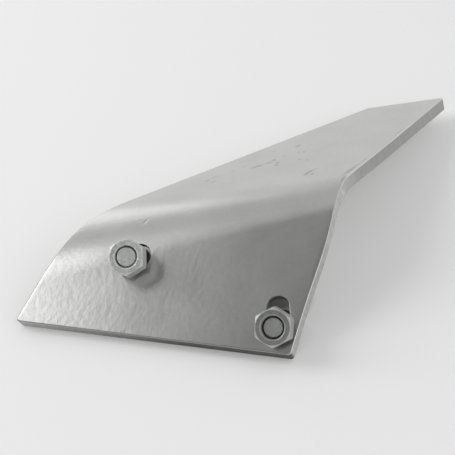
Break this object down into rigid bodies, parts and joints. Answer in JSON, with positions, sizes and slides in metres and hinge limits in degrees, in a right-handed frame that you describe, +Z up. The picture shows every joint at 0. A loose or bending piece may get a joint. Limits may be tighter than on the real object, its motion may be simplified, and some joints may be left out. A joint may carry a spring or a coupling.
{
  "type": "mouldboard extension",
  "caption": "Bent steel mouldboard extension for a plough, silver painted, with loose plough bolts and hexagon nuts in its slots.",
  "frame": {"origin": "middle of the bounding box at floor level, with the part lying on three corners of its hidden face", "axes": "+X along the bend, from the wide left side to the right-hand edge; +Y from the bolted panel towards the free panel; +Z up from the floor"},
  "size_m": [0.2416, 0.235, 0.0512],
  "materials": {
    "painted_steel": "satin",
    "galvanised_steel": "matte"
  },
  "bodies": {
    "root": {"extension_plate": "painted_steel", "plough_bolt_right": "galvanised_steel", "hex_nut_right": "galvanised_steel", "plough_bolt_left": "galvanised_steel", "hex_nut_left": "galvanised_steel"}
  },
  "joints": []
}
